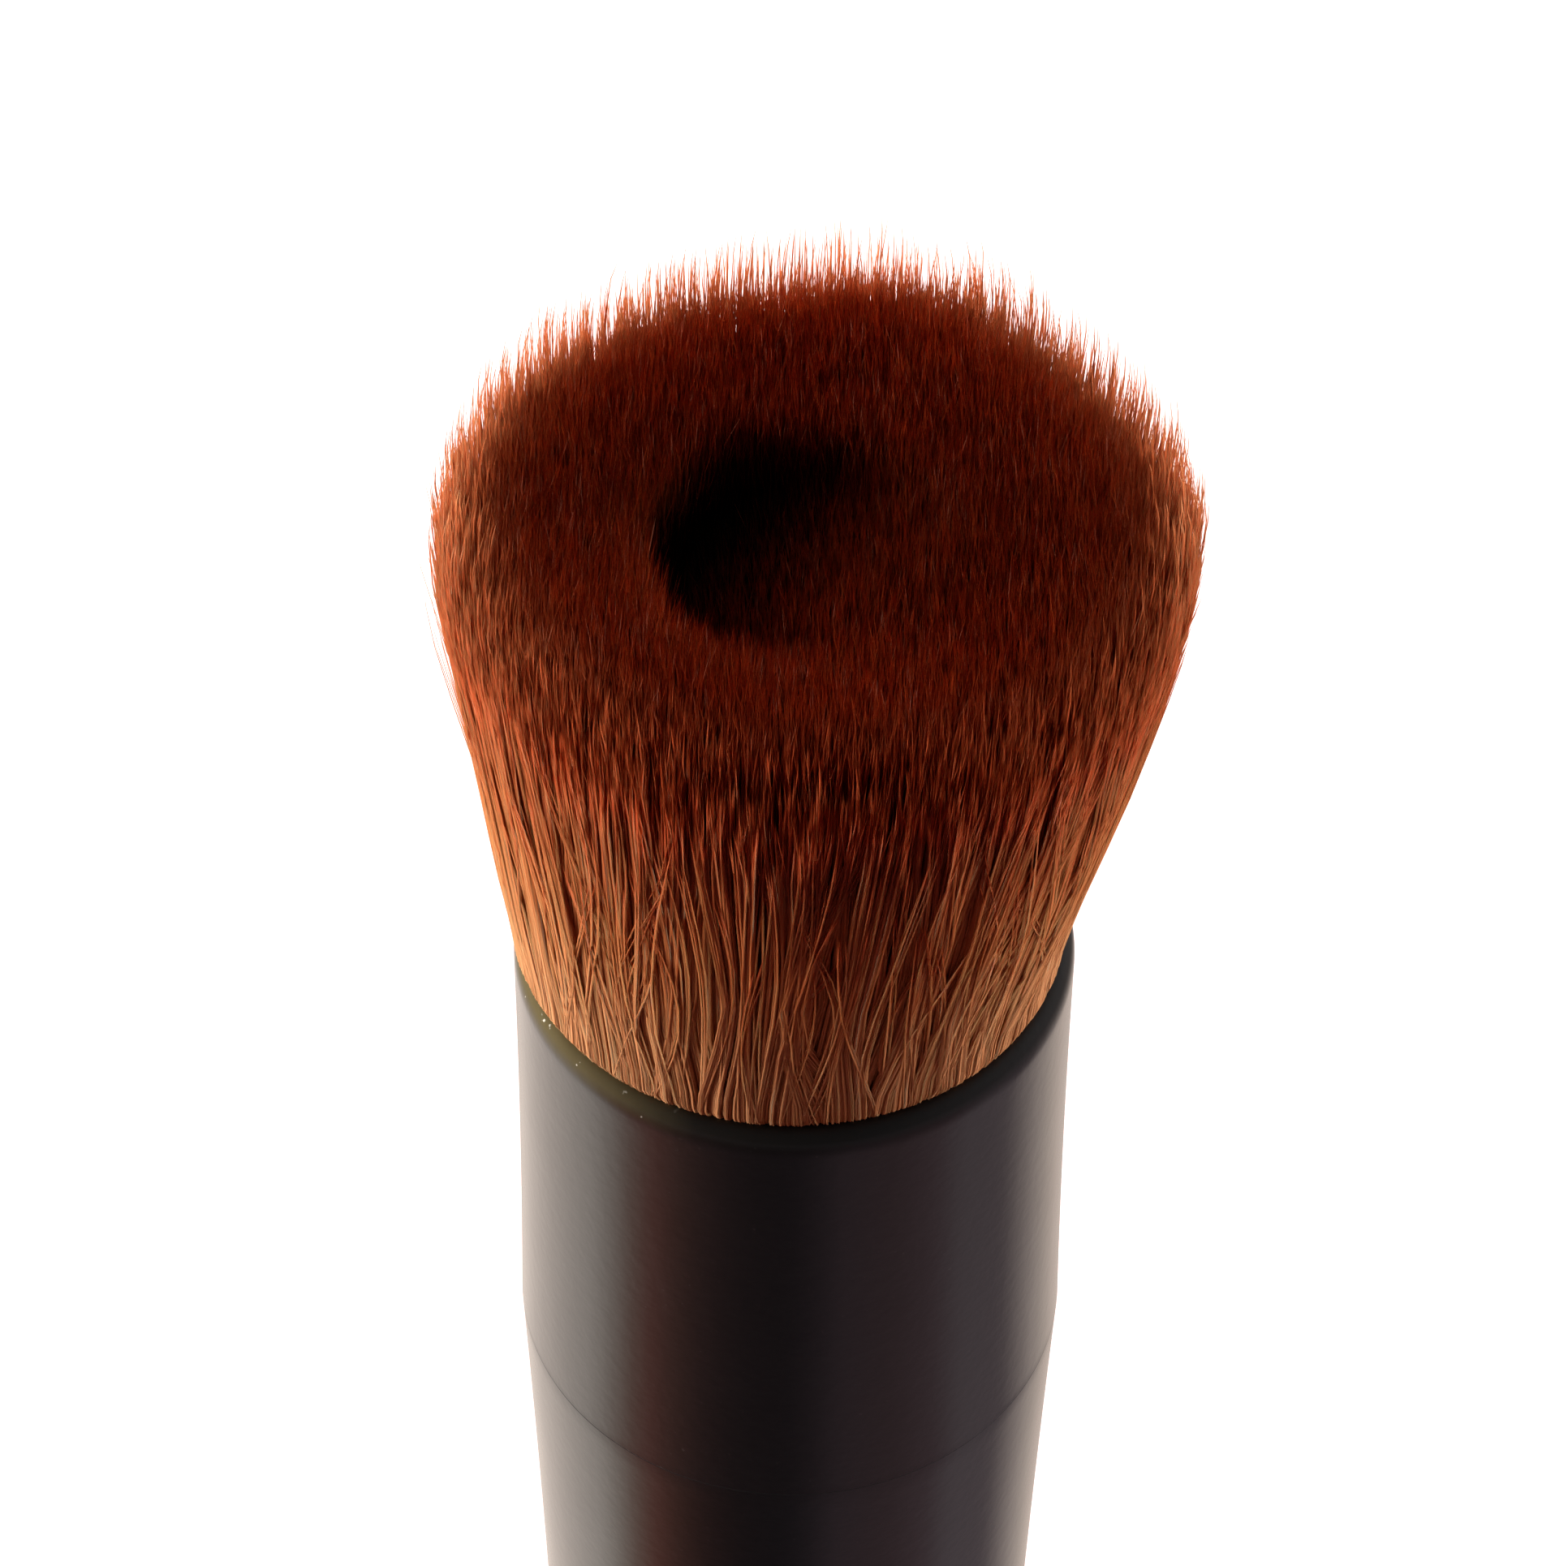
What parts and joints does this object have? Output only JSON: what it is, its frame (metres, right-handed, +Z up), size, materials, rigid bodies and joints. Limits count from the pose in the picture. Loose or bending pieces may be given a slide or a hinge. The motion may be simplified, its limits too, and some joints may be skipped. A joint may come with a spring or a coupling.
{
  "type": "foundation brush",
  "caption": "Stubby foundation brush with a dense flat-faced bristle head, a hollow in the middle of the face, a round black ferrule and a tapered black handle that stands on its flat foot.",
  "frame": {"origin": "centre of the flat foot of the handle, on the surface that the brush stands on", "axes": "+Z up along the brush's axis, from the foot to the bristle face; +X and +Y are two equal radial directions, +X along a joint between two bristle sectors"},
  "size_m": [0.0276, 0.0276, 0.1058],
  "materials": {
    "handle_lacquer": "turned wood under smooth black lacquer, satin gloss",
    "ferrule_enamel": "drawn aluminium under smooth black enamel, satin gloss",
    "epoxy": "cast amber epoxy",
    "tie_band": "thin dark elastic band",
    "bristle": "fine reddish-brown synthetic filaments, copper at the sides and dark mahogany on the face"
  },
  "bodies": {
    "root": {"handle": "handle_lacquer", "ferrule": "ferrule_enamel", "epoxy_plug": "epoxy", "tie_band": "tie_band", "bristle_core": "bristle", "bristle_tuft_1": "bristle", "bristle_tuft_2": "bristle", "bristle_tuft_3": "bristle", "bristle_tuft_4": "bristle", "bristle_tuft_5": "bristle", "bristle_tuft_6": "bristle", "bristle_tuft_7": "bristle", "bristle_tuft_8": "bristle"}
  },
  "joints": []
}
